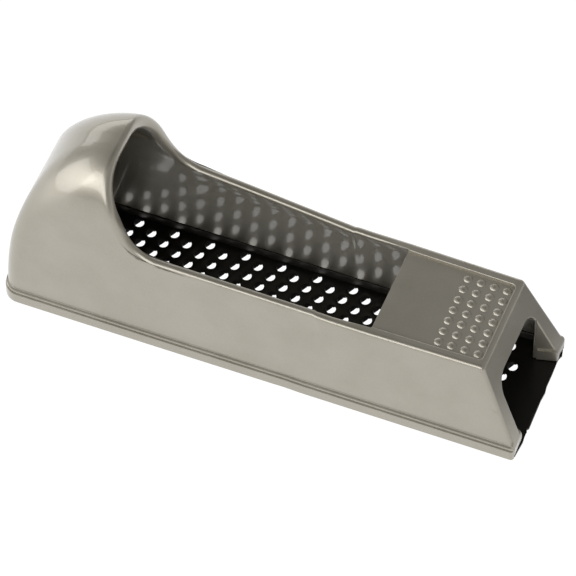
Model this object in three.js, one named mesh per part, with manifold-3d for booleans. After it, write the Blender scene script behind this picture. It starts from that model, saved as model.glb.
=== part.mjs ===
// Pocket rasp plane: a one-piece die-cast body over a perforated steel blade,
// which a hook and a tension screw in the heel pull against two pegs at the toe.
// Millimetres. X runs from heel to toe, Z is up, Y is across. Z = 0 is the tooth tips.
import * as THREE from 'three';
import { mergeVertices } from 'three/addons/utils/BufferGeometryUtils.js';
import { LoftGeometry } from 'three/addons/geometries/LoftGeometry.js';
import Module from 'manifold-3d';

const wasm = await Module();
wasm.setup();

// ---------------------------------------------------------------- driving dimensions
const LENGTH = 160;              // heel flange to the blade's toe edge
const GAP = 0.3;                 // clearance between neighbouring pieces

const BASE = 1.0;                // underside of the casting, above the tooth tips
const TOE_BASE = 2.3;            // the casting's underside where the blade passes below it
const FLANGE = { half: 22.2, top: 5.2, toe: 159.3, corner: 4.5 };
const WALL = { half: 21.1, rim: 2.8, foot: 19.9, footZ: 5.0 };
const RIM_Z = 33.0;              // top of the side walls beside the front panel

const HEEL_CURVE = new THREE.CubicBezierCurve(
  new THREE.Vector2(0.8, 4.0),
  new THREE.Vector2(0.3, 38.5),
  new THREE.Vector2(12.3, 63.9),
  new THREE.Vector2(37.1, 63.8),
);                               // heel outline in the side view: (x, z)
const CORNER = { low: 4.5, high: 16.0, from: 24, to: 64 };   // roundover radius up the heel

const LEAN = { heel: 0.052, front: 0.132 };                  // side walls lean in, mm per mm
const GRIP = { from: 48, to: 96, end: 86, endZ: 19.5, round: 10, low: 0.02, high: 0.05 };
const GRIP_BLEND = { side: 8.5, down: 4.0 };

const PANEL = { rear: 112.8, top: 32.0, thick: 2.8 };
const SLOPE = { topX: 147.3, footX: FLANGE.toe, footZ: FLANGE.top };
const FRAME_BACK = 152;
const WINDOW = { back: 13.6, front: 16.0, top: 24.6, corner: 5 };

const HEEL_SOLE = { to: 16.7, top: 2.2 };                     // cast web that closes the heel
const BLADE = { heel: 17, half: 20.6, under: 1.1, top: 1.9, side: 4.6, plain: 150 };
const HOLES = { rows: 17, pitch: 11.27, row: 2.22, stagger: 4.765, first: 27.3, r: 1.55 };

const AXIS_Z = 9.2;              // tension screw axis
const SCREW = { head: 5.6, headFrom: 0.3, headTo: 3.2, r: 2.95, end: 27, groove: 2.4 };
const SLOT = { half: 0.7, deep: 1.3 };
const WASHER = { from: 3.5, to: 4.5, r: 6.2 };
const CLIP = { from: 10.5, to: 11.3, r: 5.6, mouth: 2.1 };
const RAIL = { from: 6.5, to: 8.6, end: 23, low: 5.6, top: 12.8 };
const BOSS = { from: 2.0, to: 10.0, half: 9.2, top: 17.2, low: 2.0, seat: 4.8, bore: 6.5 };
const HOOK = { from: 14.5, to: 19.5, half: 6.2, top: 14.2, low: 2.6, tongue: 4.0 };
const HOOK_TRAVEL = 3.2;
const TONGUE = { from: 23.6, to: 25.4, tip: 0.35 };
const PEG = { x: 154.6, y: 17.3, r: 1.5, tip: 0.4 };

// ---------------------------------------------------------------- mesh helpers
function solid(geometry) {
  geometry.deleteAttribute('normal');
  geometry.deleteAttribute('uv');
  const merged = mergeVertices(geometry, 1e-4);
  const mesh = new wasm.Mesh({
    numProp: 3,
    vertProperties: new Float32Array(merged.attributes.position.array),
    triVerts: new Uint32Array(merged.index.array),
  });
  return new wasm.Manifold(mesh);
}

function geometryOf(body) {
  const mesh = body.getMesh();
  const geometry = new THREE.BufferGeometry();
  geometry.setAttribute('position', new THREE.BufferAttribute(mesh.vertProperties, 3));
  geometry.setIndex(new THREE.BufferAttribute(mesh.triVerts, 1));
  geometry.computeVertexNormals();
  return geometry;
}

function box(x0, x1, y0, y1, z0, z1) {
  const geometry = new THREE.BoxGeometry(x1 - x0, y1 - y0, z1 - z0);
  geometry.translate((x0 + x1) / 2, (y0 + y1) / 2, (z0 + z1) / 2);
  return solid(geometry);
}

function rodAlongX(x0, x1, radius, y, z, sides = 20) {
  const geometry = new THREE.CylinderGeometry(radius, radius, x1 - x0, sides);
  geometry.rotateZ(Math.PI / 2);
  geometry.translate((x0 + x1) / 2, y, z);
  return solid(geometry);
}

function rodAlongZ(z0, z1, radius, x, y, sides = 16) {
  const geometry = new THREE.CylinderGeometry(radius, radius, z1 - z0, sides);
  geometry.rotateX(Math.PI / 2);
  geometry.translate(x, y, (z0 + z1) / 2);
  return solid(geometry);
}

// A side-view outline (x, z) as a slab from -half to +half across Y.
function sideSlab(shape, half, curveSegments = 12) {
  const geometry = new THREE.ExtrudeGeometry(shape, {
    depth: 2 * half,
    bevelEnabled: false,
    curveSegments,
  });
  geometry.rotateX(Math.PI / 2);
  geometry.translate(0, half, 0);
  return solid(geometry);
}

function polygon(points) {
  return new THREE.Shape(points.map(([x, z]) => new THREE.Vector2(x, z)));
}

const clamp = THREE.MathUtils.clamp;
const smoothstep = THREE.MathUtils.smoothstep;
const lerp = THREE.MathUtils.lerp;

// ---------------------------------------------------------------- casting surfaces
const slopeX = (z) =>
  lerp(SLOPE.footX, SLOPE.topX, (z - SLOPE.footZ) / (RIM_Z - SLOPE.footZ));

function heelWall(z) {
  return WALL.half - LEAN.heel * Math.max(0, z - FLANGE.top);
}

function frontWall(x, z) {
  const taper = 0.0006 * Math.max(0, x - PANEL.rear);
  return WALL.half - (LEAN.front + taper) * Math.max(0, z - FLANGE.top - 1);
}

// The finger grip is a shallow flat scoop that deepens towards the toe.
function gripFloor(x, z) {
  const along = clamp(x - GRIP.from, 0, GRIP.to - GRIP.from);
  const slope = lerp(GRIP.low, GRIP.high, clamp((z - 10) / 24, 0, 1));
  return heelWall(z) - along * slope;
}

// 0 on the scoop's floor, 1 outside it, with a wide round blend between.
function gripBlend(x, z) {
  if (z >= GRIP.endZ) {
    const width = GRIP_BLEND.side * (1 - (z - GRIP.endZ) / 14.5);
    return smoothstep(x, GRIP.to, GRIP.to + Math.max(width, 0.6));
  }
  const dx = Math.max(0, x - GRIP.end);
  const dz = GRIP.endZ - z;
  const turn = Math.atan2(dz, dx) / (Math.PI / 2);
  const width = lerp(GRIP_BLEND.side, GRIP_BLEND.down, turn);
  return smoothstep(Math.hypot(dx, dz), GRIP.round, GRIP.round + width);
}

function sideWall(x, z) {
  if (z > RIM_Z + 6) return heelWall(z);
  return lerp(gripFloor(x, z), frontWall(x, z), gripBlend(x, z));
}

function cornerRadius(z) {
  return lerp(CORNER.low, CORNER.high, smoothstep(z, CORNER.from, CORNER.to));
}

// Distance from a point in the side view to the heel outline, which runs on level
// past the palm rest's lip.
const OUTLINE = HEEL_CURVE.getPoints(160);
OUTLINE.push(new THREE.Vector2(LENGTH, OUTLINE[160].y));
OUTLINE.unshift(new THREE.Vector2(OUTLINE[0].x, -10));

function distanceToOutline(x, z) {
  let nearest = Infinity;
  for (let i = 1; i < OUTLINE.length; i++) {
    const a = OUTLINE[i - 1];
    const ab = OUTLINE[i].clone().sub(a);
    const t = clamp(((x - a.x) * ab.x + (z - a.y) * ab.y) / ab.lengthSq(), 0, 1);
    nearest = Math.min(nearest, Math.hypot(x - a.x - t * ab.x, z - a.y - t * ab.y));
  }
  return nearest;
}

// Half the body's width where a round edge starts: the wall less its roundover.
function roundedHalf(x, z, widthAt, inset) {
  const radius = Math.max(cornerRadius(z) - inset, 1.2);
  const depth = clamp(radius - (distanceToOutline(x, z) - inset), 0, radius);
  return widthAt(x, z) - (radius - Math.sqrt(radius * radius - depth * depth));
}

// One horizontal ring of the body, from the heel outline forward to the last x.
function ring({ x: heelX, z, steep }, inset, xs, widthAt, arcSteps) {
  const radius = Math.max(cornerRadius(z) - inset, 1.2);
  const reach = Math.min(radius / steep, 30);
  const places = [];
  for (let i = 0; i <= arcSteps; i++) {
    places.push(heelX + reach * (1 - Math.cos((i / arcSteps) * (Math.PI / 2))));
  }
  const start = places[arcSteps];
  const front = xs[xs.length - 1];
  for (const [i, x] of xs.entries()) {
    const squeezed = lerp(start, front, (i + 1) / xs.length);
    places.push(x > start + 1 + i * 0.2 ? x : Math.min(squeezed, front));
  }
  places.sort((p, q) => p - q);
  const half = places.map((x) => roundedHalf(x, z, widthAt, inset));
  const left = places.map((x, i) => new THREE.Vector3(x, -half[i], z));
  const right = places.map((x, i) => new THREE.Vector3(x, half[i], z));
  return [...right.reverse(), ...left];
}

function heelStations(count, inset) {
  const stations = [];
  for (let i = 0; i <= count; i++) {
    const t = Math.pow(i / count, 0.9);
    const point = HEEL_CURVE.getPoint(t);
    const tangent = HEEL_CURVE.getTangent(t);
    const z = point.y - inset * tangent.x;
    stations.push({ x: point.x + inset * tangent.y, z, steep: Math.max(tangent.y, 0.2) });
  }
  return stations;
}

function outerHull() {
  const xs = [40, 52, 64, 74, 82, 86, 90, 93, 96, 98, 100, 102, 104, 106, 112, 130, 146];
  xs.push(FLANGE.toe);
  const sections = heelStations(26, 0)
    .filter((s) => s.z > FLANGE.top)
    .map((s) => ring(s, 0, xs, sideWall, 8));
  const foot = sections[0].map((p) => new THREE.Vector3(p.x, p.y, BASE));
  return solid(new LoftGeometry([foot, ...sections], { capStart: true, capEnd: true }));
}

function flange() {
  const { half, top, toe, corner } = FLANGE;
  const shape = new THREE.Shape();
  shape.moveTo(toe, -half);
  shape.lineTo(toe, half);
  shape.lineTo(corner, half);
  shape.absarc(corner, half - corner, corner, Math.PI / 2, Math.PI, false);
  shape.absarc(corner, corner - half, corner, Math.PI, 1.5 * Math.PI, false);
  const geometry = new THREE.ExtrudeGeometry(shape, {
    depth: top - BASE,
    bevelEnabled: false,
    curveSegments: 6,
  });
  geometry.translate(0, 0, BASE);
  return solid(geometry);
}

// The cavity's side walls are flat, and thin out downwards from the rim.
function innerWall(x, z) {
  const rim = sideWall(clamp(x, 40, 146), RIM_Z) - WALL.rim;
  const up = (z - WALL.footZ) / (RIM_Z - WALL.footZ);
  const flat = lerp(WALL.foot, rim, up);
  if (z <= RIM_Z) return flat;
  return lerp(rim, heelWall(z) - WALL.rim, clamp((z - RIM_Z) / 8, 0, 1));
}

function cavity() {
  const xs = [40, 60, 80, 96, 106, 130, FRAME_BACK];
  const underPanel = PANEL.top - PANEL.thick;
  const stations = heelStations(16, WALL.rim).filter((s) => s.z > WALL.footZ);
  const sections = stations.map((s) => {
    const back = FRAME_BACK - 8 * clamp((s.z - 19) / (underPanel - 19), 0, 1);
    const ends = [...xs.slice(0, -1), back];
    return ring(s, WALL.rim, ends, innerWall, 6);
  });
  const foot = sections[0].map((p) => new THREE.Vector3(p.x, p.y, WALL.footZ - 1));
  return solid(new LoftGeometry([foot, ...sections], { capStart: true, capEnd: true }));
}

// Everything above the lip: from the front of the palm rest down to the rims.
function aboveLip() {
  const shape = new THREE.Shape();
  shape.moveTo(32.4, 80);
  shape.lineTo(32.2, 63.9);
  shape.bezierCurveTo(31.0, 61.2, 32.4, 57.8, 34.6, 52.8);
  shape.bezierCurveTo(37.4, 46.4, 40.0, 37.4, 48.8, 36.6);
  shape.lineTo(95, 33.3);
  shape.lineTo(101, RIM_Z);
  shape.lineTo(LENGTH + 10, RIM_Z);
  shape.lineTo(LENGTH + 10, 80);
  return sideSlab(shape, 30, 10);
}

function frontBlocks() {
  const block = sideSlab(polygon([
    [PANEL.rear, PANEL.top - PANEL.thick],
    [FRAME_BACK - 9, PANEL.top - PANEL.thick],
    [FRAME_BACK - 9, 20],
    [LENGTH, 20],
    [LENGTH, PANEL.top + 1],
    [PANEL.rear, PANEL.top + 1],
  ]), 15);
  return block.intersect(outerHull());
}

function windowCutter() {
  const outline = (half, x) => {
    const points = [];
    for (let i = 0; i <= 5; i++) {
      const angle = (i / 5) * (Math.PI / 2);
      const y = half - WINDOW.corner * (1 - Math.cos(angle));
      const z = WINDOW.top - WINDOW.corner * (1 - Math.sin(angle));
      points.push(new THREE.Vector3(x, y, z));
    }
    const mirrored = points.map((p) => new THREE.Vector3(p.x, -p.y, p.z)).reverse();
    const foot = [new THREE.Vector3(x, -half, -2), new THREE.Vector3(x, half, -2)];
    return [...points, ...mirrored, ...foot].reverse();
  };
  const back = outline(WINDOW.back, 140).map((p) => p.setX(140));
  const mid = outline(WINDOW.back, FRAME_BACK);
  const front = outline(WINDOW.front + 1, LENGTH + 4);
  return solid(new LoftGeometry([back, mid, front].map((s) => s.reverse()),
    { capStart: true, capEnd: true }));
}

function bodyCasting() {
  let body = outerHull().add(flange()).subtract(cavity()).subtract(aboveLip());
  body = body.add(frontBlocks());
  const recess = box(PANEL.rear - 1, 145.6, -14.9, 14.9, PANEL.top, RIM_Z + 5);
  body = body.subtract(recess);
  // the blade's rabbet along the foot of the walls
  const heelEnd = WALL.footZ + 0.2;
  body = body.subtract(box(HEEL_SOLE.to, FRAME_BACK, -20.95, 20.95, -1, heelEnd));
  body = body.subtract(box(3, HEEL_SOLE.to + 1, -19.8, 19.8, -1, heelEnd));
  body = body.add(box(2, HEEL_SOLE.to, -20.3, 20.3, BASE, HEEL_SOLE.top));
  body = body.subtract(box(FRAME_BACK - 1, LENGTH + 1, -20.95, 20.95, -1, TOE_BASE));
  body = body.subtract(windowCutter());
  // tension screw boss and the two rails that stop the hook from turning
  const boss = box(BOSS.from, BOSS.to, -BOSS.half, BOSS.half, BOSS.low, BOSS.top);
  body = body.add(boss)
    .add(box(BOSS.to - 1, RAIL.end, RAIL.from, RAIL.to, RAIL.low, RAIL.top))
    .add(box(BOSS.to - 1, RAIL.end, -RAIL.to, -RAIL.from, RAIL.low, RAIL.top));
  body = body.subtract(rodAlongX(-2, BOSS.seat, BOSS.bore, 0, AXIS_Z, 28));
  body = body.subtract(rodAlongX(0, BOSS.to + 1, SCREW.r + GAP, 0, AXIS_Z, 20));
  // sloping toe face
  const slope = polygon([
    [slopeX(80), 80],
    [slopeX(-10), -10],
    [LENGTH + 30, -10],
    [LENGTH + 30, 80],
  ]);
  body = body.subtract(sideSlab(slope, 30));
  // blade pegs under the two legs
  for (const side of [-1, 1]) {
    body = body.add(rodAlongZ(PEG.tip, TOE_BASE + 1, PEG.r, PEG.x, side * PEG.y, 12));
  }
  return body;
}

// ---------------------------------------------------------------- rasp blade
function holeCentres() {
  const centres = [];
  const half = (HOLES.rows - 1) / 2;
  for (let row = 0; row < HOLES.rows; row++) {
    const y = (half - row) * HOLES.row;
    const shift = (HOLES.first + row * HOLES.stagger) % HOLES.pitch;
    for (let x = shift; x < BLADE.plain - HOLES.r; x += HOLES.pitch) {
      const clearOfSlot = x > TONGUE.to + HOOK_TRAVEL + 4 || Math.abs(y) > 9;
      if (x > BLADE.heel + 3.2 && clearOfSlot) centres.push([x, y]);
    }
  }
  return centres;
}

function raspBlade() {
  const plate = new THREE.Shape();
  plate.moveTo(BLADE.heel, -BLADE.half);
  plate.lineTo(LENGTH, -BLADE.half);
  plate.lineTo(LENGTH, BLADE.half);
  plate.lineTo(BLADE.heel, BLADE.half);
  for (const [x, y] of holeCentres()) {
    const hole = new THREE.Path();
    hole.moveTo(x - HOLES.r, y);
    hole.lineTo(x, y + HOLES.r);
    hole.lineTo(x + HOLES.r, y);
    hole.lineTo(x, y - HOLES.r);
    plate.holes.push(hole);
  }
  const geometry = new THREE.ExtrudeGeometry(plate, {
    depth: BLADE.top - BLADE.under,
    bevelEnabled: false,
  });
  geometry.translate(0, 0, BLADE.under);
  let blade = solid(geometry);
  const sides = [];
  for (const side of [-1, 1]) {
    const y = side * (BLADE.half - 0.4);
    sides.push(box(BLADE.heel, FRAME_BACK - 1, y - 0.4, y + 0.4, BLADE.top - 0.4, BLADE.side));
  }
  blade = wasm.Manifold.union([blade, ...sides]);
  // a tooth on the toe side of each hole: a low wedge that leans to the toe
  const teeth = holeCentres().map(([x, y]) => {
    const wedge = new THREE.CylinderGeometry(0.75, 0.1, 1.3, 3, 1);
    wedge.rotateX(Math.PI / 2);
    wedge.translate(x + HOLES.r + 0.1, y - 0.9, 0.65);
    return solid(wedge);
  });
  blade = wasm.Manifold.union([blade, ...teeth]);
  // slot for the hook's tongue, and a hole for each peg
  blade = blade.subtract(box(TONGUE.from - GAP, TONGUE.to + HOOK_TRAVEL + 0.5,
    -HOOK.tongue - 0.5, HOOK.tongue + 0.5, -1, 3));
  for (const side of [-1, 1]) {
    blade = blade.subtract(rodAlongZ(-1, 3, PEG.r + 0.4, PEG.x, side * PEG.y, 12));
  }
  return blade;
}

// ---------------------------------------------------------------- tension parts
function tensionHook() {
  const { from, to, half, top, low, tongue } = HOOK;
  let hook = box(from, to, -half, half, low, top);
  hook = hook.add(box(to - 1, TONGUE.to, -tongue, tongue, low, low + 1.8));
  hook = hook.add(box(TONGUE.from, TONGUE.to, -tongue, tongue, TONGUE.tip, low + 1.8));
  return hook.subtract(rodAlongX(from - 1, to + 1, SCREW.r + GAP, 0, AXIS_Z, 20));
}

function tensionScrew() {
  const { head, headFrom, headTo, r, end, groove } = SCREW;
  const profile = [
    [0, headFrom], [head - 1.1, headFrom], [head, headFrom + 1.1], [head, headTo],
    [r, headTo], [r, CLIP.from - GAP], [groove, CLIP.from - GAP],
    [groove, CLIP.to + GAP], [r, CLIP.to + GAP],
    [r, end - 0.8], [r - 0.8, end], [0, end],
  ].map(([radius, along]) => new THREE.Vector2(radius, along));
  const lathe = new THREE.LatheGeometry(profile, 20);
  lathe.rotateZ(-Math.PI / 2);
  lathe.translate(0, 0, AXIS_Z);
  const slot = box(headFrom - 1, headFrom + SLOT.deep, -SLOT.half, SLOT.half,
    AXIS_Z - head - 1, AXIS_Z + head + 1);
  return solid(lathe).subtract(slot);
}

function screwWasher() {
  const { from, to, r } = WASHER;
  const disc = rodAlongX(from, to, r, 0, AXIS_Z, 24);
  return disc.subtract(rodAlongX(from - 1, to + 1, SCREW.r + GAP, 0, AXIS_Z, 24));
}

function retainingClip() {
  const { from, to, r, mouth } = CLIP;
  const disc = rodAlongX(from, to, r, 0, AXIS_Z, 20);
  const grip = rodAlongX(from - 1, to + 1, SCREW.groove + GAP, 0, AXIS_Z, 16);
  return disc.subtract(grip).subtract(box(from - 1, to + 1, -mouth, mouth, AXIS_Z, AXIS_Z + 8));
}

// ---------------------------------------------------------------- scene graph
const paint = { color: 0xa6a296, roughness: 0.36, metalness: 0.55 };
const blackSteel = { color: 0x12110f, roughness: 0.42, metalness: 0.6 };
const zinc = { color: 0xb9bcc0, roughness: 0.3, metalness: 0.9 };

const pieces = [
  ['body_casting', bodyCasting, paint],
  ['rasp_blade', raspBlade, blackSteel],
  ['tension_hook', tensionHook, zinc],
  ['tension_screw', tensionScrew, zinc],
  ['screw_washer', screwWasher, zinc],
  ['retaining_clip', retainingClip, zinc],
];

const plane = new THREE.Group();
for (const [name, make, finish] of pieces) {
  const mesh = new THREE.Mesh(geometryOf(make()), new THREE.MeshStandardMaterial(finish));
  mesh.name = name;
  plane.add(mesh);
}
plane.position.x = -LENGTH / 2;  // origin under the middle of the plane

export default plane;
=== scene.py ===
# %% [markdown]
# # A pocket rasp plane
# A one-hand rasp plane is a die-cast shell over a perforated steel blade. The palm sits on
# the raised heel, a fingertip presses the dimpled panel at the nose, and shavings come up
# through the blade's holes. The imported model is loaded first. It is the fixed frame: its
# nodes say where each piece is, and each new piece rides on one of its bodies.

# %% Load the frame
import math

import bpy
import numpy as np
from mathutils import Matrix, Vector


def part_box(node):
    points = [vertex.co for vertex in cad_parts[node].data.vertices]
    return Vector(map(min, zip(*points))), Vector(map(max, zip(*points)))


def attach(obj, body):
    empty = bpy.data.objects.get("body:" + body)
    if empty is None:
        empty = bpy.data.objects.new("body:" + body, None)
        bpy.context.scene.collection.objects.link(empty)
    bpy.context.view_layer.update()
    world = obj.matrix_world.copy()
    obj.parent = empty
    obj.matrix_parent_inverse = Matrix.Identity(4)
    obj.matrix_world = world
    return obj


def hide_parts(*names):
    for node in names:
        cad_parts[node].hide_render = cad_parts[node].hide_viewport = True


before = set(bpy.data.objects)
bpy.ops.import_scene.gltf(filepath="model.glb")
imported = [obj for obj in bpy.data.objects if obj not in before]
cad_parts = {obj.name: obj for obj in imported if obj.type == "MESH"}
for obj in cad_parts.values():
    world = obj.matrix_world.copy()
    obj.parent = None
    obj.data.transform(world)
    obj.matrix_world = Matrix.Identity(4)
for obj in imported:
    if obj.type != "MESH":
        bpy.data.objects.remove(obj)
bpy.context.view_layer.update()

# %% [markdown]
# All sizes below are in millimetres, measured from the heel, because that is how such a
# casting is drawn. One function turns a drawing point into the frame's metres: the origin
# is under the middle of the tool, so half the length comes off x.

# %% Sizes and the step from drawing to frame
LENGTH = 160.0
MM = 0.001


def place(x, y, z):
    return ((x - LENGTH / 2) * MM, y * MM, z * MM)


def place_all(points):
    return (np.asarray(points, float) - (LENGTH / 2, 0, 0)) * MM


low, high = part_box("body_casting")
print("casting in the frame, mm:", [round(v * 1000, 1) for v in high - low])

# %% [markdown]
# Small helpers keep the modelling steps readable: clear the selection, pick vertices,
# edges or faces by where they are, and finish a piece with its normals and smooth shading.


# %% Selection helpers
def only(obj):
    if bpy.context.object and bpy.context.object.mode != "OBJECT":
        bpy.ops.object.mode_set(mode="OBJECT")
    bpy.ops.object.select_all(action="DESELECT")
    bpy.context.view_layer.objects.active = obj
    obj.select_set(True)
    return obj


def named(name):
    obj = bpy.context.object
    obj.name = obj.data.name = name
    return obj


def pick(obj, kind, test):
    """Select the vertices, edges or faces of obj whose centre, in drawing mm, passes test."""
    only(obj)
    bpy.ops.object.mode_set(mode="EDIT")
    bpy.ops.mesh.select_mode(type=kind)
    bpy.ops.mesh.select_all(action="DESELECT")
    bpy.ops.object.mode_set(mode="OBJECT")
    mesh = obj.data
    points = [Vector((v.co.x / MM + LENGTH / 2, v.co.y / MM, v.co.z / MM)) for v in mesh.vertices]
    items = {"VERT": mesh.vertices, "EDGE": mesh.edges, "FACE": mesh.polygons}[kind]
    count = 0
    for item in items:
        corners = [item.index] if kind == "VERT" else item.vertices
        centre = sum((points[i] for i in corners), Vector()) / len(corners)
        item.select = bool(test(centre, item))
        count += item.select
    bpy.ops.object.mode_set(mode="EDIT")
    return count


def done():
    bpy.ops.object.mode_set(mode="OBJECT")


def apply(obj, kind, **settings):
    only(obj)
    modifier = obj.modifiers.new(kind.title(), kind)
    for key, value in settings.items():
        setattr(modifier, key, value)
    bpy.ops.object.modifier_apply(modifier=modifier.name)
    return obj


def cut_or_add(obj, tool, operation):
    apply(obj, "BOOLEAN", object=tool, operation=operation, solver="EXACT")
    bpy.data.objects.remove(tool)
    return obj


def clean(obj, angle=30):
    only(obj)
    bpy.ops.object.transform_apply(location=True, rotation=True, scale=True)
    bpy.ops.object.mode_set(mode="EDIT")
    bpy.ops.mesh.select_all(action="SELECT")
    bpy.ops.mesh.remove_doubles(threshold=1e-6)
    bpy.ops.mesh.normals_make_consistent(inside=False)
    done()
    bpy.ops.object.shade_smooth_by_angle(angle=math.radians(angle))
    return obj


def settled(name):
    bpy.ops.object.transform_apply(location=True, rotation=True, scale=True)
    return named(name)


def round_bar(name, start, end, radius, across=(0.0, 9.2), along="X", sides=48):
    """A cylinder along X at (y, z), or along Z at (x, y)."""
    only_nothing()
    middle = (start + end) / 2
    spot = (middle, *across) if along == "X" else (*across, middle)
    turn = (0, math.pi / 2, 0) if along == "X" else (0, 0, 0)
    bpy.ops.mesh.primitive_cylinder_add(vertices=sides, radius=radius * MM, location=place(*spot),
                                        depth=(end - start) * MM, rotation=turn)
    return settled(name)


def block(name, x0, x1, y0, y1, z0, z1):
    only_nothing()
    bpy.ops.mesh.primitive_cube_add(size=1, location=place((x0 + x1) / 2, (y0 + y1) / 2,
                                                           (z0 + z1) / 2))
    bpy.context.object.scale = ((x1 - x0) * MM, (y1 - y0) * MM, (z1 - z0) * MM)
    return settled(name)


def only_nothing():
    if bpy.context.object and bpy.context.object.mode != "OBJECT":
        bpy.ops.object.mode_set(mode="OBJECT")
    bpy.ops.object.select_all(action="DESELECT")


# %% [markdown]
# ## The body casting
# The real body is one zinc or aluminium die casting: a thin shell whose heel swells into a
# palm rest. Its outline in the side view is one long curve, its corners grow from a tight
# radius at the foot to a full arch at the crown, and a sloping cut opens the front of the
# palm rest. Boxes with bevels can't give that flowing surface, and a remesh would leave
# ripples in glossy paint. So one flat grid is laid on the shape instead: its columns run
# from the toe round to the heel, and its rows run up the outside, over the rim and down
# the inside. Only half is made, and mirrored.

# %% The casting's outlines
WALL_FOOT, WALL_THICK, RIM = 6.5, 2.8, 33.0
HEEL = np.array([(0.8, 4.0), (0.3, 38.5), (12.3, 63.9), (37.1, 63.8)])


def bezier(control, t):
    t = np.asarray(t, float)[:, None]
    a, b, c, d = control
    return a * (1 - t) ** 3 + 3 * b * t * (1 - t) ** 2 + 3 * c * t ** 2 * (1 - t) + d * t ** 3


def step(value, start, end):
    s = np.clip((np.asarray(value, float) - start) / (end - start), 0, 1)
    return s * s * (3 - 2 * s)


def mix(a, b, s):
    return a + (b - a) * s


T = np.linspace(0, 1, 1200)
OUTLINE = bezier(HEEL, T)
tangent = np.gradient(OUTLINE, axis=0)
tangent /= np.linalg.norm(tangent, axis=1)[:, None]
INWARD = np.stack([tangent[:, 1], -tangent[:, 0]], axis=1)
RADIUS = mix(4.5, 16.0, step(OUTLINE[:, 1], 24, 64))

upper = bezier(np.array([(32.2, 63.9), (31.0, 61.2), (32.4, 57.8), (34.6, 52.8)]), np.linspace(0, 1, 40))
lower = bezier(np.array([(34.6, 52.8), (37.4, 46.4), (40.0, 37.4), (48.8, 36.6)]), np.linspace(0, 1, 60))
LIP = np.vstack([[(32.4, 66)], upper, lower[1:]])
print("heel outline", round(np.abs(np.diff(OUTLINE, axis=0)).sum(), 1), "mm,", len(LIP), "lip points")


def toe_x(z):
    return mix(159.3, 147.3, (np.asarray(z, float) - 5.2) / (RIM - 5.2))


# %% The casting's walls
def heel_wall(z):
    return 21.1 - 0.052 * np.maximum(0, z - 5.2)


def nose_wall(x, z):
    lean = 0.132 + 0.0006 * np.maximum(0, x - 112.8)
    return 21.1 - lean * np.maximum(0, z - 6.2)


def scoop_floor(x, z):
    slope = mix(0.02, 0.05, np.clip((z - 10) / 24, 0, 1))
    return heel_wall(z) - np.clip(x - 48, 0, 48) * slope


def scoop_end(x, z):
    """0 on the finger scoop's floor, 1 past its D-shaped end, with a wide round blend."""
    upper_blend = step(x, 96, 96 + np.maximum(8.5 * (1 - (z - 19.5) / 14.5), 0.6))
    dx, dz = np.maximum(0, x - 86), np.maximum(19.5 - z, 0)
    width = mix(8.5, 4.0, np.arctan2(dz, dx) / (math.pi / 2))
    far = np.hypot(dx, dz)
    s = np.clip((far - 10) / width, 0, 1)
    return np.where(z >= 19.5, upper_blend, s * s * (3 - 2 * s))


def outer_wall(x, z):
    return mix(scoop_floor(x, z), nose_wall(x, z), scoop_end(x, z))


def thickness(z, v):
    return WALL_THICK + 1.8 * step(z, 36, 50) * step(v, 0.7, 1)


def inner_wall(x, z, v):
    rim = outer_wall(np.clip(x, 40, 146), RIM) - WALL_THICK
    flat = mix(19.9, rim, (z - 5) / (RIM - 5))
    return mix(flat, heel_wall(z) - thickness(z, v), step(z, 30, 42))


# %% Columns round the heel
ROWS, SIDE_COLUMNS, CORNER_COLUMNS, CENTRE_COLUMNS = 46, 170, 16, 6
UP = np.append(np.linspace(0, 0.95, ROWS), 1.0)


def lip_x(z):
    order = np.argsort(LIP[:, 1])
    return np.interp(z, LIP[order, 1], LIP[order, 0])


def heel_column(angle, share, foot, inner):
    """A column at an angle round the corner, 90 at the side and 0 at the crown."""
    c, s = math.cos(angle), math.sin(angle)
    reach = T / T[-1]
    wall = thickness(OUTLINE[:, 1], reach) if inner else 0 * T
    radius = np.maximum(RADIUS - wall, 1.2)
    side = OUTLINE + INWARD * (wall + radius * (1 - c))[:, None]
    width = inner_wall(side[:, 0], side[:, 1], reach) if inner else heel_wall(side[:, 1])
    y = (width - radius * (1 - s)) * share
    line = np.stack([side[:, 0], y, side[:, 1]], axis=1)
    past = np.nonzero((side[:, 1] > 36.6) & (side[:, 0] > lip_x(side[:, 1])))[0]
    line = line[: past[0] + 1] if len(past) else line
    line = line[line[:, 2] > foot]
    start = line[0] + (foot - line[0, 2]) / (line[1, 2] - line[0, 2]) * (line[1] - line[0])
    line = np.vstack([start, line])
    line[-1, 0] = lip_x(line[-1, 2])
    along = np.append(0, np.cumsum(np.linalg.norm(np.diff(line, axis=0), axis=1)))
    return np.stack([np.interp(UP * along[-1], along, line[:, i]) for i in range(3)], axis=1)


def heel_columns(foot, inner):
    columns = [heel_column(a, 1, foot, inner)
               for a in np.linspace(math.pi / 2, 0, CORNER_COLUMNS + 1)]
    columns += [heel_column(0, 1 - i / CENTRE_COLUMNS, foot, inner)
                for i in range(1, CENTRE_COLUMNS + 1)]
    return columns


# %% Columns along the sides
OVER = 3.2                       # the sides run past the toe slope and are cut back to it


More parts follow.
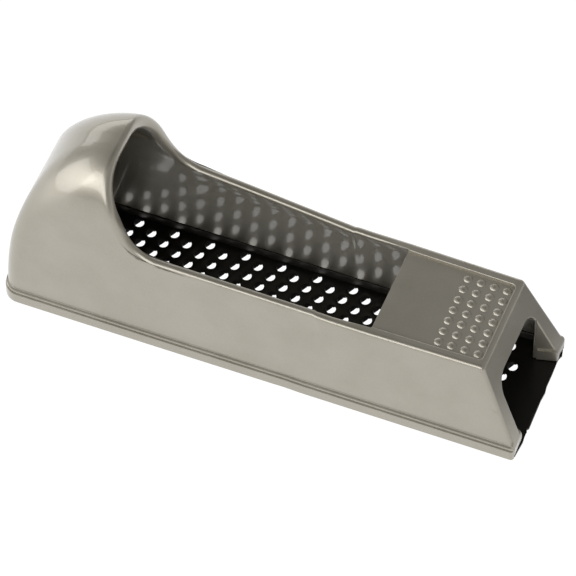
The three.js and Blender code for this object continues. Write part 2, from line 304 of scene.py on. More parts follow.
def side_columns(foot, inner, edge):
    top = np.vstack([[edge[-1, [0, 2]]], LIP[LIP[:, 1] < edge[-1, 2]],
                     [(95, 33.3), (101, RIM), (toe_x(RIM) + OVER, RIM)]])
    along = np.append(0, np.cumsum(np.linalg.norm(np.diff(top, axis=0), axis=1)))
    share = np.linspace(0, 1, SIDE_COLUMNS + 1)
    share[-8:-1] = share[-9] + (share[-8:-1] - share[-9]) * 0.1    # leaves room to round the toe
    top_x = np.interp(share * along[-1], along, top[:, 0])
    top_z = np.interp(share * along[-1], along, top[:, 1])
    marks = [top[0, 0], 48.8, 90, 112, toe_x(RIM) + OVER]
    foot_x = np.interp(top_x, marks, [edge[0, 0], 30, 88, 114, toe_x(foot) + OVER])
    bend = edge[:, [0, 2]] - mix(edge[0, [0, 2]], edge[-1, [0, 2]], UP[:, None])
    columns = []
    for i in range(SIDE_COLUMNS, 0, -1):
        x = mix(foot_x[i], top_x[i], UP) + bend[:, 0] * (1 - step(share[i], 0, 0.35))
        z = mix(foot, top_z[i], UP) + bend[:, 1] * (1 - step(share[i], 0, 0.35))
        y = inner_wall(x, z, UP) if inner else outer_wall(x, z)
        columns.append(np.stack([x, y, z], axis=1))
    return columns


# %% The flange's section, followed round the foot of the wall
FLANGE_SECTION = [(-0.15, 5.1), (-0.15, 1.0), (0.85, 1.0), (1.1, 1.25), (1.1, 4.35), (1.0, 4.6),
                  (0.75, 4.72), (0.5, 4.78), (0.42, 4.95), (0.5, 5.12), (0.72, 5.22),
                  (0.8, 5.45), (0.72, 5.72), (0.45, 5.88), (0.12, 6.0), (0.0, 6.2)]


FLANGE_END = [OVER, 0.02, -0.06, -0.22, -0.5, -0.9, -1.5, -2.2]


def flange_column(foot, i):
    """The flange's section at column i. It dies away round a small corner at the toe."""
    corner = np.clip((i - SIDE_COLUMNS) / CORNER_COLUMNS, 0, 1) * math.pi / 2
    points = []
    for out, z in FLANGE_SECTION:
        x = foot[0] - 0.7 * out * math.sin(corner)
        if i < len(FLANGE_END):
            x = float(toe_x(z)) + FLANGE_END[i]
            gone = 1 - min(-FLANGE_END[i] / 1.5, 1) if i > 0 else 1
            out = out * math.sqrt(max(1 - gone ** 2, 0)) if out > 0 else out
        points.append((x, foot[1] + out * math.cos(corner) * (foot[1] > 1e-6), z))
    return np.array(points)


outside = heel_columns(WALL_FOOT, False)
inside = heel_columns(5.1, True)
outside = side_columns(WALL_FOOT, False, outside[0]) + outside
inside = side_columns(5.1, True, inside[0]) + inside
columns = []
for i, (out, inn) in enumerate(zip(outside, inside)):
    columns.append(np.vstack([flange_column(out[0], i), out, inn[::-1], flange_column(out[0], i)[:1]]))
sections = np.array(columns)
print("grid of", sections.shape[0], "columns and", sections.shape[1], "rows")


# %% Lay a grid on the shape and mirror it
def half_casting():
    only_nothing()
    across, up = sections.shape[:2]
    bpy.ops.mesh.primitive_grid_add(x_subdivisions=across - 1, y_subdivisions=up - 1, size=1)
    obj = named("casting")
    flat = place_all(sections.transpose(1, 0, 2).reshape(-1, 3))
    obj.data.vertices.foreach_set("co", flat.ravel())
    obj.data.update()
    return obj


casting = half_casting()
apply(casting, "MIRROR", use_axis=(False, True, False), merge_threshold=1e-5)
only(casting)
bpy.ops.object.mode_set(mode="EDIT")
bpy.ops.mesh.select_all(action="SELECT")
bpy.ops.mesh.remove_doubles(threshold=2e-6)
bpy.ops.mesh.select_all(action="DESELECT")
bpy.ops.mesh.select_non_manifold(extend=False, use_wire=False, use_multi_face=False,
                                 use_non_contiguous=False, use_verts=False)
bpy.ops.mesh.edge_face_add()
bpy.ops.mesh.select_all(action="SELECT")
bpy.ops.mesh.normals_make_consistent(inside=False)
done()
print("casting shell:", len(casting.data.polygons), "faces")

# %% [markdown]
# The nose panel and the toe frame are cast in one with the shell, so they are joined to it
# with boolean unions. Each one starts as a cube at its size. The panel sits a millimetre
# below the rims, and the toe frame is a wall with an arched window that lets shavings out.

# %% Nose panel, front rim and toe frame
PANEL_REAR, PANEL_TOP, HEADER_BACK, FRAME_BACK = 112.8, 32.0, 143.5, 152.0


def tapered(name, x0, x1, z0, z1, low_half, high_half):
    """A cube whose top is narrower than its foot, like everything between leaning walls."""
    obj = block(name, x0, x1, -low_half, low_half, z0, z1)
    pick(obj, "FACE", lambda c, f: c.z > z1 - 0.01)
    bpy.ops.transform.resize(value=(1, high_half / low_half, 1))
    done()
    return obj


def wall_middle(z):
    return 20.6 + (16.0 - 20.6) * (z - 5) / (RIM - 5)


nose = tapered("nose", PANEL_REAR, 158, PANEL_TOP - 2.8, RIM, wall_middle(29.2), wall_middle(RIM))
header = tapered("header", HEADER_BACK, 160, 20.0, PANEL_TOP - 1, wall_middle(20), wall_middle(31))
legs = tapered("legs", FRAME_BACK, 166, 2.3, 31.5, wall_middle(2.3), wall_middle(31.5))
ledges = tapered("ledges", 153.4, 164, 2.3, 6.4, 19.5, 19.3)
for part in (nose, header, legs):
    cut_or_add(casting, part, "UNION")
print("casting with its nose:", len(casting.data.polygons), "faces")

# %% [markdown]
# The window's cutter is a cube with its two top edges bevelled round. Its front face is
# made wider, because the legs' inner faces have draft so that the casting leaves its die.


# %% Cut the window, the panel's recess, the blade's rabbet at the toe and the slope
CASTING_TOE = 159.3


def drafted(name, x0, x1, rear_half, front_half, z0, z1):
    """A cube that is wider or narrower at its front than at its rear."""
    obj = block(name, x0, x1, -rear_half, rear_half, z0, z1)
    pick(obj, "FACE", lambda c, f: c.x > x1 - 0.01)
    bpy.ops.transform.resize(value=(1, front_half / rear_half, 1))
    done()
    return obj


def window_cutter():
    obj = block("window", 140, FRAME_BACK, -13.6, 13.6, -4, 24.4)
    pick(obj, "FACE", lambda c, f: c.x > FRAME_BACK - 0.01)
    bpy.ops.mesh.extrude_region_move(TRANSFORM_OT_translate={"value": (14 * MM, 0, 0)})
    bpy.ops.transform.resize(value=(1, 17.6 / 13.6, 1))
    done()
    pick(obj, "EDGE", lambda c, e: c.z > 24.3 and abs(c.y) > 10 and abs(c.x - FRAME_BACK) > 0.1)
    bpy.ops.mesh.bevel(offset=5.2 * MM, segments=10, profile=0.5, affect="EDGES")
    done()
    return obj


def recess_cutter():
    obj = drafted("recess", 110, 145.8, 14.8, 14.25, PANEL_TOP, 40)
    pick(obj, "EDGE", lambda c, e: c.x > 145 and abs(c.y) > 13)
    bpy.ops.mesh.bevel(offset=1.3 * MM, segments=6, affect="EDGES")
    done()
    return obj


cut_or_add(casting, window_cutter(), "DIFFERENCE")
cut_or_add(ledges, drafted("between", 150, 168, 12.6, 17.3, 0, 9), "DIFFERENCE")
cut_or_add(casting, ledges, "UNION")
cut_or_add(casting, recess_cutter(), "DIFFERENCE")
cut_or_add(casting, block("rabbet", FRAME_BACK - 1, 170, -20.95, 20.95, -1, 2.3), "DIFFERENCE")
for side in (-1, 1):
    peg = round_bar("peg", 0.4, 3.3, 1.5, (154.6, side * 17.3), "Z", 24)
    pick(peg, "FACE", lambda c, f: c.z < 0.5)
    bpy.ops.mesh.bevel(offset=0.4 * MM, segments=3, affect="EDGES")
    done()
    cut_or_add(casting, peg, "UNION")
lean = math.atan2(float(toe_x(5.2) - toe_x(RIM)), RIM - 5.2)
only_nothing()
bpy.ops.mesh.primitive_cube_add(size=80 * MM, rotation=(0, -lean, 0), location=place(
    float(toe_x(15)) + 40 * math.cos(lean), 0, 15 + 40 * math.sin(lean)))
cut_or_add(casting, settled("slope"), "DIFFERENCE")
cut_or_add(casting, block("toe_trim", CASTING_TOE, 170, -30, 30, -1, 9), "DIFFERENCE")
for side in (-1, 1):
    corner = block("corner_tool", CASTING_TOE - 1.5, 165, *sorted((side * 20.7, side * 24)), -1, 8)
    cut_or_add(corner, round_bar("corner_core", -2, 9, 1.5, (CASTING_TOE - 1.5, side * 20.7), "Z"),
               "DIFFERENCE")
    cut_or_add(casting, corner, "DIFFERENCE")
print("casting cut at the toe:", len(casting.data.polygons), "faces")

# %% [markdown]
# In the heel a boss carries the tension screw, two rails keep the hook from turning and a
# thin web closes the underside. The counterbore and the screw's hole are cut last.

# %% Heel boss, rails and web
SCREW_Z = 9.2

for name, spot in {
    "web": (2.2, 16.7, -20.6, 20.6, 1.0, 2.2),
    "boss": (2.0, 10.0, -9.2, 9.2, 1.5, 17.2),
    "rail_far": (9, 23, 6.5, 8.6, 5.6, 12.8),
    "rail_near": (9, 23, -8.6, -6.5, 5.6, 12.8),
}.items():
    solid = block(name, *spot)
    if name != "web":
        pick(solid, "EDGE", lambda c, e: True)
        bpy.ops.mesh.bevel(offset=0.6 * MM, segments=3, affect="EDGES")
        done()
    cut_or_add(casting, solid, "UNION")
cut_or_add(casting, round_bar("counterbore", -3, 4.8, 6.5), "DIFFERENCE")
cut_or_add(casting, round_bar("screw_hole", 0, 11, 3.25), "DIFFERENCE")
print("casting with its heel boss:", len(casting.data.polygons), "faces")

# %% [markdown]
# The fingertip panel has 28 low dimples in four rows of seven, to stop the finger
# slipping. One is a sphere with all but its cap cut away below the panel; the rest are
# copies, joined to the casting in one go.

# %% Fingertip dimples
DIMPLE_HALF, DIMPLE_HIGH, DIMPLE_PITCH = 1.4, 0.62, 4.0


def copies(obj, places):
    """Copies of obj, each with its own mesh, moved by each place in mm and joined into obj."""
    made = []
    for spot in places:
        twin = obj.copy()
        twin.data = obj.data.copy()
        twin.location = Vector(spot) * MM
        bpy.context.scene.collection.objects.link(twin)
        made.append(twin)
    bpy.data.objects.remove(obj)
    only(made[0])
    for twin in made[1:]:
        twin.select_set(True)
    bpy.ops.object.join()
    bpy.ops.object.transform_apply(location=True, rotation=True, scale=True)
    return made[0]


def dimple():
    ball = (DIMPLE_HALF ** 2 + DIMPLE_HIGH ** 2) / (2 * DIMPLE_HIGH)
    only_nothing()
    bpy.ops.mesh.primitive_uv_sphere_add(segments=24, ring_count=24, radius=ball * MM,
                                         location=place(0, 0, PANEL_TOP + DIMPLE_HIGH - ball))
    cap = settled("dimples")
    only(cap)
    bpy.ops.object.mode_set(mode="EDIT")
    bpy.ops.mesh.select_all(action="SELECT")
    bpy.ops.mesh.bisect(plane_co=place(0, 0, PANEL_TOP - 0.3), plane_no=(0, 0, -1),
                        use_fill=True, clear_outer=True)
    done()
    return cap


spots = [(132.1 + 3.98 * i, (j - 3) * DIMPLE_PITCH, 0) for i in range(4) for j in range(7)]
dimples = copies(dimple(), spots)
cut_or_add(casting, dimples, "UNION")
print("casting with", len(spots), "dimples:", len(casting.data.polygons), "faces")

# %% [markdown]
# A casting has no sharp corners: the pattern maker rounds them so that metal flows and
# paint holds. The rim and lip are rounded most, because a hand rests there. Edges are
# chosen by place and by how sharply their faces meet, then bevelled.


# %% Choose how far each edge is rounded
ROUND = 1.9                      # the largest rounding, mm; weights take a share of it
FINE = 0.06                      # where the rim's rounding runs out at the panel's corners


def on_slope(c):
    return abs(c.x - toe_x(c.z)) < 0.05


def on_lip(c):
    top = np.interp(c.x, [48.8, 95, 101, 160], [36.6, 33.3, RIM, RIM])
    return (c.x < 49 and c.z > 36 and abs(c.x - lip_x(c.z)) < 0.4) or (
        abs(c.z - top) < 0.08 and c.x > 48)


def rounding(c):
    """The rounding in mm of a sharp edge, from its middle point."""
    inner = abs(c.y) < outer_wall(c.x, c.z) - 1.2
    if on_slope(c):
        if c.z < 6.4:
            return 0
        if abs(c.y) > 17.0 - (c.z - 24) * 0.1 or c.z > 32.9:
            return 1.1
        return 0.6
    if on_lip(c):
        if c.x < PANEL_REAR - 0.2 or not inner:
            wide = mix(ROUND, 1.05, float(step(c.x, 42, 62)))
            narrowing = float(step(c.x, PANEL_REAR - 9, PANEL_REAR - 1))
            return mix(wide, FINE, narrowing) if inner else wide
        return mix(FINE, 0.4, float(step(c.x, PANEL_REAR, PANEL_REAR + 9)))
    if abs(c.x - PANEL_REAR) < 0.05 and abs(c.z - PANEL_TOP) < 0.05:
        return 0.12
    if c.x > 140 and abs(c.y) < 15 and c.z > 32.9:
        return 0.4
    if abs(c.x - FRAME_BACK) < 0.3 and abs(c.y) < 13.9 and c.z < 24:
        return 0.8
    return 0


def split_big_faces(obj, cuts):
    """Straight cuts through the large flat faces only, so that each stays a simple shape."""
    for where, normal in cuts:
        pick(obj, "FACE", lambda c, f: len(f.vertices) > 8)
        bpy.ops.mesh.bisect(plane_co=place(*where), plane_no=normal)
        done()
    return len(obj.data.polygons)


cuts = [((x, 0, 0), (1, 0, 0)) for x in (116, 122, 128, 134.1, 138.1, 142.1, 148)]
cuts += [((0, 0, z), (0, 0, 1)) for z in (7, 12, 18, 26)]
cuts += [((0, 0, 0), (0, 1, 0))]
print("faces after the cuts:", split_big_faces(casting, cuts))


def weigh_edges(obj, degrees=35):
    only(obj)
    bpy.ops.object.mode_set(mode="EDIT")
    bpy.ops.mesh.select_mode(type="EDGE")
    bpy.ops.mesh.select_all(action="DESELECT")
    bpy.ops.mesh.edges_select_sharp(sharpness=math.radians(degrees))
    done()
    mesh = obj.data
    weights = np.zeros(len(mesh.edges), np.float32)
    for edge in mesh.edges:
        if edge.select:
            a, b = (mesh.vertices[i].co / MM + Vector((LENGTH / 2, 0, 0)) for i in edge.vertices)
            weights[edge.index] = rounding((a + b) / 2) / ROUND
    layer = mesh.attributes.new("bevel_weight_edge", "FLOAT", "EDGE")
    layer.data.foreach_set("value", weights)
    return int((weights > 0).sum())


print("edges to round:", weigh_edges(casting))

# %% Round the edges and smooth the casting
apply(casting, "BEVEL", width=ROUND * MM, segments=4, limit_method="WEIGHT", profile=0.5,
      use_clamp_overlap=False, miter_outer="MITER_SHARP")
clean(casting, 28)
apply(casting, "WEIGHTED_NORMAL", keep_sharp=True, weight=60)
print("finished casting:", len(casting.data.polygons), "faces")

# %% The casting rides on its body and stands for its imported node
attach(casting, "casting")
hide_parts("body_casting")

# %% [markdown]
# ## The rasp blade
# The blade is one thin steel strip. A press pierces each hole on a slant and pushes down
# the heel side of it, so from above each opening is a D with a dark ramp beside it, and
# from below each has a raised cutting edge. The holes sit on a skewed grid, so that every
# tooth cuts its own line. One tile of that grid is modelled, copied over the strip and
# merged; plain tiles fill the margins, and straight cuts trim the strip to size.

# %% Blade sizes
BLADE_HEEL, BLADE_TOP, SHEET, FLAT_HALF = 17.0, 1.9, 0.8, 20.59
STEP_ALONG, STEP_ACROSS = np.array([4.765, -2.22]), np.array([-1.74, -4.44])
FIRST_HOLE = np.array([27.3, 17.76])
HOLE, RING, SKEW = 1.55, 1.98, math.radians(-28)
ROLL, CHORD = 0.12, -0.6         # how far the hole's rim rolls down; where the tooth's edge is
RAIL_END, RAIL_TOP = 151.0, 4.55


def is_pierced(x, y):
    in_field = BLADE_HEEL + 3.2 < x < 148.6 and abs(y) < 17.9
    return in_field and (x > 33 or abs(y) > 9)


# %% One tile with its pierced tooth
def snap_to_edge(tile):
    """Move the outer ring of vertices onto the edge of the skewed tile, corners included."""
    for vertex in tile.data.vertices:
        x, y = vertex.co.x / MM + LENGTH / 2, vertex.co.y / MM
        if math.hypot(x, y) > 2.5:
            turn = math.atan2(y, x) - SKEW
            u, v = np.array([math.cos(turn), math.sin(turn)])
            u, v = np.array([u, v]) / max(abs(u), abs(v)) / 2
            vertex.co = place(*(u * STEP_ALONG - v * STEP_ACROSS), BLADE_TOP)


def flat_tile():
    only_nothing()
    bpy.ops.mesh.primitive_circle_add(vertices=16, radius=3 * MM, fill_type="NGON",
                                      rotation=(0, 0, SKEW), location=place(0, 0, BLADE_TOP))
    tile = settled("plain_tile")
    snap_to_edge(tile)
    return tile


def ahead(c):
    """How far a point lies towards the toe side of the hole, along the skew."""
    return c.x * math.cos(SKEW) + c.y * math.sin(SKEW)


def pierced_tile():
    only_nothing()
    bpy.ops.mesh.primitive_circle_add(vertices=16, radius=HOLE * MM, rotation=(0, 0, SKEW),
                                      location=place(0, 0, BLADE_TOP - ROLL))
    tile = settled("rasp_blade")
    only(tile)
    bpy.ops.object.mode_set(mode="EDIT")
    bpy.ops.mesh.select_all(action="SELECT")
    bpy.ops.mesh.extrude_region_move(TRANSFORM_OT_translate={"value": (0, 0, ROLL * MM)})
    grow = RING / HOLE
    bpy.ops.transform.resize(value=(grow, grow, 1), center_override=place(0, 0, BLADE_TOP))
    bpy.ops.mesh.extrude_region_move()
    bpy.ops.transform.resize(value=(2, 2, 1), center_override=place(0, 0, BLADE_TOP))
    done()
    snap_to_edge(tile)
    # the heel side of the hole is pushed down to a straight cutting edge
    pick(tile, "EDGE", lambda c, e: (c.xy.length < HOLE + 0.02 and ahead(c) < 0.05
                                     and c.z < BLADE_TOP - 0.1))
    for down, keep in ((0.4, 0.82), (0.62, 0.8)):
        bpy.ops.mesh.extrude_edges_move(TRANSFORM_OT_translate={"value": (0, 0, -down * MM)})
        bpy.ops.transform.resize(value=(keep, keep, 1), center_override=place(0, 0, 0))
    done()
    # the last row of the ramp is drawn straight, along the chord
    for vertex in tile.data.vertices:
        c = Vector((vertex.co.x / MM + LENGTH / 2, vertex.co.y / MM, vertex.co.z / MM))
        if c.z < BLADE_TOP - 0.9:
            sideways = (c.y * math.cos(SKEW) - c.x * math.sin(SKEW)) * 1.25
            vertex.co = place(CHORD * math.cos(SKEW) - sideways * math.sin(SKEW),
                              CHORD * math.sin(SKEW) + sideways * math.cos(SKEW),
                              c.z + 0.3 * (sideways / HOLE) ** 4)
    return tile


pierced, plain = [], []
for i in range(-12, 40):
    for j in range(-30, 32):
        x, y = FIRST_HOLE + i * STEP_ALONG + j * STEP_ACROSS
        if BLADE_HEEL - 5 < x < LENGTH + 5 and abs(y) < 25:
            (pierced if is_pierced(x, y) else plain).append((x, y, 0))
blade = copies(pierced_tile(), pierced)
margin = copies(flat_tile(), plain)
print(len(pierced), "pierced tiles and", len(plain), "plain ones")


# %% Join the tiles and trim the strip
def trim(obj, where, normal):
    only(obj)
    bpy.ops.object.mode_set(mode="EDIT")
    bpy.ops.mesh.select_all(action="SELECT")
    bpy.ops.mesh.bisect(plane_co=place(*where), plane_no=normal, clear_outer=True)
    done()


only(blade)
margin.select_set(True)
bpy.ops.object.join()
bpy.ops.object.mode_set(mode="EDIT")
bpy.ops.mesh.select_all(action="SELECT")
bpy.ops.mesh.remove_doubles(threshold=0.05 * MM)
bpy.ops.mesh.normals_make_consistent(inside=False)
done()
trim(blade, (BLADE_HEEL, 0, 0), (-1, 0, 0))
trim(blade, (LENGTH - 0.15, 0, 0), (1, 0, 0))
trim(blade, (0, FLAT_HALF, 0), (0, 1, 0))
trim(blade, (0, -FLAT_HALF, 0), (0, -1, 0))
if sum(face.normal.z * face.area for face in blade.data.polygons) < 0:
    blade.data.flip_normals()

# %% Give the sheet its thickness, downwards
apply(blade, "SOLIDIFY", thickness=SHEET * MM, offset=-1.0)
low_z = min(v.co.z for v in blade.data.vertices) / MM
only(blade)
bpy.ops.object.mode_set(mode="EDIT")
bpy.ops.mesh.select_all(action="SELECT")
bpy.ops.mesh.normals_make_consistent(inside=False)
done()
print("blade:", len(blade.data.polygons), "faces, lowest point", round(low_z, 2), "mm")

# %% Cut the slot for the tensioning tongue and the two peg holes
cut_or_add(blade, block("slot_cutter", 23.3, 29.1, -4.5, 4.5, -1, 4), "DIFFERENCE")
for y in (-17.3, 17.3):
    cut_or_add(blade, round_bar("peg_hole_cutter", -1, 4, 1.9, (154.6, y), along="Z"),
               "DIFFERENCE")
print("blade with its slot:", len(blade.data.polygons), "faces")

# %% Stand the long edges up as the rails that slide in the casting
for side in (-1, 1):
    rail = block("rail", BLADE_HEEL + 0.02, RAIL_END,
                 *sorted((side * (FLAT_HALF - SHEET), side * (FLAT_HALF + 0.01))), 1.12, RAIL_TOP)
    pick(rail, "EDGE", lambda c, e: c.z > RAIL_TOP - 0.01)
    bpy.ops.mesh.bevel(offset=0.2 * MM, segments=2, affect="EDGES")
    done()
    only(blade)
    rail.select_set(True)
    bpy.ops.object.join()
print("blade with its rails:", len(blade.data.polygons), "faces")

# %% The toe edge is left as it was sheared through a row of tooth blanks
STEPS_PER_MM, DEEPEST_STEP = 0.225, 0.7

for vertex in blade.data.vertices:
    if vertex.co.x > (LENGTH / 2 - 0.2) * MM:
        along_step = (vertex.co.y / MM * STEPS_PER_MM + 0.3) % 1.0
        vertex.co.x -= along_step * DEEPEST_STEP * MM
clean(blade, 35)
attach(blade, "blade")
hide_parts("rasp_blade")
print("blade, mm:", [round(v / MM, 2) for v in blade.dimensions])

# %% [markdown]
# ## The tension screw and its parts
# A slotted cheese-head screw pulls the blade tight. It is a turned steel bar with a rolled
# thread, so it starts as cylinders, the head's rim is bevelled, and the slot is milled by a
# cut. The thread is a stack of shallow ridges, one per pitch, which is how a thread reads
# from the side.

# %% Screw
HEAD_R, HEAD_FROM, HEAD_TO, SHANK_R, SCREW_END, PITCH = 5.6, 0.35, 3.2, 2.95, 27.0, 1.0
CLIP_FROM, CLIP_TO, CLIP_R, GROOVE_R = 10.5, 11.3, 5.6, 2.4

screw = round_bar("tension_screw", HEAD_FROM, HEAD_TO, HEAD_R, sides=64)
apply(screw, "BEVEL", width=0.5 * MM, segments=3, angle_limit=math.radians(40))
cut_or_add(screw, block("slot_tool", -1, 1.65, -0.7, 0.7, 0, 20), "DIFFERENCE")
shank = round_bar("shank", HEAD_TO - 0.5, 12.0, SHANK_R)
cut_or_add(shank, round_bar("groove_tool", CLIP_FROM - 0.1, CLIP_TO + 0.1, 9.0), "DIFFERENCE")
cut_or_add(shank, round_bar("groove_floor", CLIP_FROM - 0.5, CLIP_TO + 0.5, GROOVE_R), "UNION")
cut_or_add(screw, shank, "UNION")


def thread(start, end):
    """A threaded length: one bar, inset at every other ring to the root of the thread."""
    turns = int((end - start) / PITCH)
    only_nothing()
    bpy.ops.mesh.primitive_circle_add(vertices=32, radius=SHANK_R * MM, fill_type="NGON",
                                      location=place(start, 0, SCREW_Z),
                                      rotation=(0, math.pi / 2, 0))
    bar = settled("thread")
    only(bar)
    bpy.ops.object.mode_set(mode="EDIT")
    bpy.ops.mesh.select_all(action="SELECT")
    step = PITCH / 4
    for _ in range(turns):
        for shrink in (0.85, 1.0, 1 / 0.85, 1.0):
            bpy.ops.mesh.extrude_region_move(TRANSFORM_OT_translate={"value": (step * MM, 0, 0)})
            start += step
            if shrink != 1.0:
                bpy.ops.transform.resize(value=(1, shrink, shrink),
                                         center_override=place(start, 0, SCREW_Z))
    bpy.ops.mesh.select_all(action="SELECT")
    bpy.ops.mesh.normals_make_consistent(inside=False)
    done()
    return bar


# %% Thread, joined to the shank
tip = thread(11.9, SCREW_END)
cut_or_add(screw, tip, "UNION")
clean(screw, 30)
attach(screw, "screw")
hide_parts("tension_screw")
print("screw, mm:", [round(v / MM, 2) for v in screw.dimensions])

# %% [markdown]
# A plain washer spreads the head's load on the casting, and a clip pressed into the groove
# behind the boss keeps the screw from drifting out. Both are stamped, so their edges are
# broken by a small bevel. The clip is a ring with one open mouth and two inner lobes cut.

# %% Washer
washer = round_bar("screw_washer", 3.5, 4.5, 6.2, sides=64)
cut_or_add(washer, round_bar("washer_hole", 3, 5, SHANK_R + 0.25), "DIFFERENCE")
apply(washer, "BEVEL", width=0.12 * MM, segments=2, angle_limit=math.radians(40))
clean(washer, 30)
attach(washer, "screw")
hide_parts("screw_washer")
print("washer:", len(washer.data.polygons), "faces")

# %% Retaining clip
clip = round_bar("retaining_clip", CLIP_FROM, CLIP_TO, CLIP_R, sides=64)
cut_or_add(clip, round_bar("clip_bore", 10, 12, GROOVE_R + 0.15), "DIFFERENCE")
cut_or_add(clip, block("mouth", 10, 12, -2.1, 2.1, SCREW_Z, 20), "DIFFERENCE")
for side in (-1, 1):
    cut_or_add(clip, round_bar("lobe", 10, 12, 1.1, (side * 3.0, SCREW_Z - 1.8), sides=24),
               "DIFFERENCE")
apply(clip, "BEVEL", width=0.1 * MM, segments=2, angle_limit=math.radians(40))
clean(clip, 30)
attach(clip, "screw")
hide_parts("retaining_clip")
print("clip:", len(clip.data.polygons), "faces")

# %% [markdown]
# ## The hook
# The screw draws a small cast block towards the heel, and its tongue pulls on the blade's
# slot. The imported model's own block has the right shape, so a copy of it is merged and its
# edges are rounded, as the edges of a tumbled casting are.

# %% Hook
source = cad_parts["tension_hook"]
hook = source.copy()
hook.data = source.data.copy()
hook.name = hook.data.name = "tension_hook_block"
hook.parent = None
hook.matrix_world = source.matrix_world.copy()
bpy.context.scene.collection.objects.link(hook)
only(hook)
bpy.ops.object.transform_apply(location=True, rotation=True, scale=True)
apply(hook, "WELD", merge_threshold=0.01 * MM)
apply(hook, "DECIMATE", decimate_type="DISSOLVE", angle_limit=math.radians(2))
apply(hook, "BEVEL", width=0.3 * MM, segments=3, angle_limit=math.radians(40))
clean(hook, 35)
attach(hook, "hook")
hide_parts("tension_hook")
print("hook, mm:", [round(v / MM, 2) for v in hook.dimensions])

# %% [markdown]
# ## Materials
# Each finish is a small node tree on Object coordinates, with its pattern sizes taken from
# real millimetres. One helper adds a node with its settings, and one turns a screen colour
# into the linear colour that the shader wants.


# %% Material helpers
def linear(hex_colour):
    values = [int(hex_colour[i:i + 2], 16) / 255 for i in (1, 3, 5)]
    return [v / 12.92 if v <= 0.04045 else ((v + 0.055) / 1.055) ** 2.4 for v in values] + [1.0]


def new_material(name):
    material = bpy.data.materials.new(name)
    material.use_nodes = True
    material.node_tree.nodes.clear()
    return material


def add(material, kind, values=None, **settings):
    """Add one node. values fills or links its sockets, and settings are its properties."""
    node = material.node_tree.nodes.new("ShaderNode" + kind)
    for key, value in settings.items():
        setattr(node, key, value)
    for key, value in (values or {}).items():
        if isinstance(value, bpy.types.NodeSocket):
            material.node_tree.links.new(value, node.inputs[key])
        else:
            node.inputs[key].default_value = value
    return node


def object_coords(material):
    return add(material, "TexCoord").outputs["Object"]


def noise(material, size_mm, detail=2.0, stretch=(1, 1, 1)):
    """Noise whose features are about size_mm across."""
    mapping = add(material, "Mapping", {"Vector": object_coords(material),
                                        "Scale": [v / (size_mm * MM) for v in stretch]})
    return add(material, "TexNoise", {"Vector": mapping.outputs[0], "Scale": 1.0,
                                      "Detail": detail}).outputs[0]


def ramp(material, value, low, high, out_low, out_high):
    return add(material, "MapRange", {"Value": value, "From Min": low, "From Max": high,
                                      "To Min": out_low, "To Max": out_high}).outputs[0]


def mix_colour(material, factor, first, second):
    node = add(material, "Mix", data_type="RGBA")
    for socket, value in ((0, factor), (6, first), (7, second)):
        if isinstance(value, bpy.types.NodeSocket):
            material.node_tree.links.new(value, node.inputs[socket])
        else:
            node.inputs[socket].default_value = value
    return node.outputs[2]


def bump(material, height, depth_mm, strength=1.0):
    return add(material, "Bump", {"Height": height, "Distance": depth_mm * MM,
                                  "Strength": strength}).outputs[0]


def finish_material(material, shader):
    add(material, "OutputMaterial", {"Surface": shader.outputs[0]})
    return material


def paint(obj, material):
    obj.data.materials.clear()
    obj.data.materials.append(material)


# %% [markdown]
# ** Silver stoved paint.** Fine aluminium flake in a warm grey lacquer, baked on a die
# casting. The flake makes a broad soft sheen that follows the curves, and the clear lacquer
# on top adds a sharp, weak reflection. The paint lies in slow waves, like orange peel, and
# a few specks of dust are caught in it.

# %% Silver paint
silver = new_material("silver_stoved_metallic_paint")
flake = noise(silver, 0.12, 1.0)
cloud = noise(silver, 14.0, 3.0)
base = mix_colour(silver, ramp(silver, cloud, 0.35, 0.65, 0.0, 1.0),
                  linear("#9A9588"), linear("#A19C90"))
base = mix_colour(silver, ramp(silver, flake, 0.45, 0.7, 0.0, 0.25), base, linear("#BDB9AE"))
peel = bump(silver, noise(silver, 2.6, 1.0), 0.012)
speck = ramp(silver, noise(silver, 0.9, 0.0), 0.80, 0.84, 0.0, 1.0)
coat_normal = add(silver, "Bump", {"Height": speck, "Distance": 0.08 * MM, "Normal": peel})
silver_shader = add(silver, "BsdfPrincipled", {
    "Base Color": base, "Metallic": 0.75, "Normal": peel,
    "Roughness": ramp(silver, cloud, 0.3, 0.7, 0.33, 0.39),
    "Coat Weight": 0.8, "Coat Roughness": 0.06, "Coat IOR": 1.5,
    "Coat Normal": coat_normal.outputs[0]})
paint(casting, finish_material(silver, silver_shader))

# %% [markdown]
# **Blackened spring steel.** The blade is hardened strip with a black oxide finish: deep
# and slightly warm, with a dull oily sheen, worn to bare steel only along its sharp edges.

# %% Black steel
black = new_material("black_oxide_spring_steel")
wear = ramp(black, add(black, "NewGeometry").outputs["Pointiness"], 0.56, 0.62, 0.0, 0.35)
mottled = mix_colour(black, noise(black, 5.0, 3.0), linear("#13120F"), linear("#1C1A17"))
oxide = mix_colour(black, wear, mottled, linear("#6E6A63"))
black_shader = add(black, "BsdfPrincipled", {
    "Base Color": oxide, "Metallic": 0.6, "Normal": bump(black, noise(black, 0.5), 0.006),
    "Roughness": ramp(black, noise(black, 8.0, 2.0), 0.3, 0.7, 0.34, 0.46)})
paint(blade, finish_material(black, black_shader))

# %% [markdown]
# **Zinc plate.** Screw, washer and hook are plated steel: bright and slightly blue, with a
# fine satin grain from the barrel.

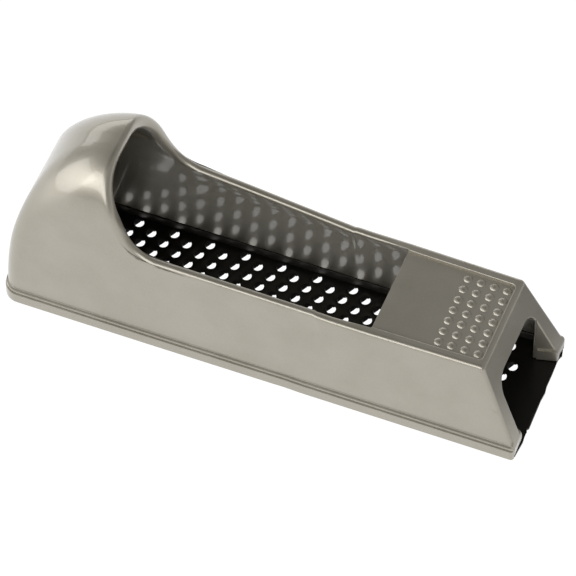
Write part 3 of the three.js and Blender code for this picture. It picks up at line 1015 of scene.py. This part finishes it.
# %% Zinc plate and spring steel
zinc = new_material("bright_zinc_plate")
zinc_colour = mix_colour(zinc, noise(zinc, 3.0, 3.0), linear("#B9BDC0"), linear("#A4A8AC"))
zinc_shader = add(zinc, "BsdfPrincipled", {
    "Base Color": zinc_colour, "Metallic": 1.0,
    "Normal": bump(zinc, noise(zinc, 0.25), 0.004),
    "Roughness": ramp(zinc, noise(zinc, 2.0), 0.3, 0.7, 0.24, 0.4)})
finish_material(zinc, zinc_shader)
for piece in (screw, washer, hook):
    paint(piece, zinc)

spring = new_material("phosphated_spring_steel")
spring_colour = mix_colour(spring, noise(spring, 1.5), linear("#3A3A3A"), linear("#4A4947"))
spring_shader = add(spring, "BsdfPrincipled", {
    "Base Color": spring_colour, "Metallic": 0.9, "Roughness": 0.42,
    "Normal": bump(spring, noise(spring, 0.3), 0.004)})
paint(clip, finish_material(spring, spring_shader))
for name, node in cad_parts.items():
    finish = {"body_casting": silver, "rasp_blade": black, "retaining_clip": spring}
    paint(node, finish.get(name, zinc))
print("materials:", ", ".join(m.name for m in bpy.data.materials))

# %% [markdown]
# ## Floor, light and camera
# The tool stands on a lit white table. Large soft lights stand in front, behind and at the
# heel, and the ceiling over it is left dim, so that the walls mirror the bright table and
# the flat tops stay darker. Beyond the toe the table has a patch of painted shade, seen only
# in reflections, which keeps the sloping nose dark. The camera looks down on the near side
# from beyond the toe.

# %% Floor
def distance_ramp(material, centre, near, far, out_near, out_far):
    """A value that changes with the distance from one point of the Object coordinates."""
    away = add(material, "VectorMath", {1: centre}, operation="DISTANCE")
    material.node_tree.links.new(object_coords(material), away.inputs[0])
    return ramp(material, away.outputs["Value"], near, far, out_near, out_far)


only_nothing()
bpy.ops.mesh.primitive_plane_add(size=6.0, location=(0, 0, -0.0001))
floor = settled("floor")
table = new_material("lit_white_table")
# painted shade: a darker patch of table beyond the toe, seen only in reflections
painted_toe_shade = distance_ramp(table, (0.135, 0.045, 0), 0.03, 0.08, 0.2, 1.05)
# seen directly the table is evenly white; in reflections it has painted shade beyond the toe
seen = add(table, "LightPath").outputs["Is Camera Ray"]
glow = add(table, "MapRange", {"Value": seen, "To Min": painted_toe_shade, "To Max": 1.05})
finish_material(table, add(table, "Emission", {
    "Color": linear("#FFFFFF"), "Strength": glow.outputs[0]}))
paint(floor, table)


# %% Lights
def aim(obj, target):
    obj.rotation_euler = (Vector(target) - obj.location).to_track_quat("-Z", "Y").to_euler()


def area_light(name, where, width, depth, watts):
    light = bpy.data.lights.new(name, "AREA")
    light.shape, light.size, light.size_y, light.energy = "RECTANGLE", width, depth, watts
    obj = bpy.data.objects.new(name, light)
    bpy.context.scene.collection.objects.link(obj)
    obj.location = where
    aim(obj, (0, 0, 0))
    return obj


area_light("near_softbox", (-0.3, -1.4, 1.05), 3.0, 1.0, 24.0)
area_light("far_softbox", (-0.9, 1.5, 0.4), 2.0, 0.5, 4.5)
area_light("heel_softbox", (-1.5, -0.5, 0.55), 1.3, 0.9, 8.0)
world = bpy.data.worlds.new("studio")
world.use_nodes = True
sky = world.node_tree.nodes
rise = sky.new("ShaderNodeSeparateXYZ")
level = sky.new("ShaderNodeMapRange")
for name, value in (("From Min", 0.75), ("From Max", 0.97), ("To Min", 0.42), ("To Max", 0.14)):
    level.inputs[name].default_value = value
links = world.node_tree.links
links.new(sky.new("ShaderNodeTexCoord").outputs["Generated"], rise.inputs[0])
links.new(rise.outputs["Z"], level.inputs["Value"])
links.new(level.outputs[0], sky["Background"].inputs["Strength"])
sky["Background"].inputs["Color"].default_value = (1.0, 0.99, 0.97, 1)
bpy.context.scene.world = world
bpy.context.scene.view_settings.view_transform = "Standard"

# %% Camera
AZIMUTH, ELEVATION = math.radians(21.649), math.radians(52.613)
TARGET, DISTANCE, FOCAL = Vector((-0.0056, 0.0182, -0.0077)), 1.486, 315.4
away = Vector((math.sin(AZIMUTH) * math.cos(ELEVATION), -math.cos(AZIMUTH) * math.cos(ELEVATION),
               math.sin(ELEVATION)))
camera_data = bpy.data.cameras.new("camera")
camera_data.lens, camera_data.sensor_width = FOCAL, 36.0
camera = bpy.data.objects.new("camera", camera_data)
bpy.context.scene.collection.objects.link(camera)
camera.location = TARGET + away * DISTANCE
camera.rotation_euler = (math.pi / 2 - ELEVATION, 0, AZIMUTH)
bpy.context.scene.camera = camera
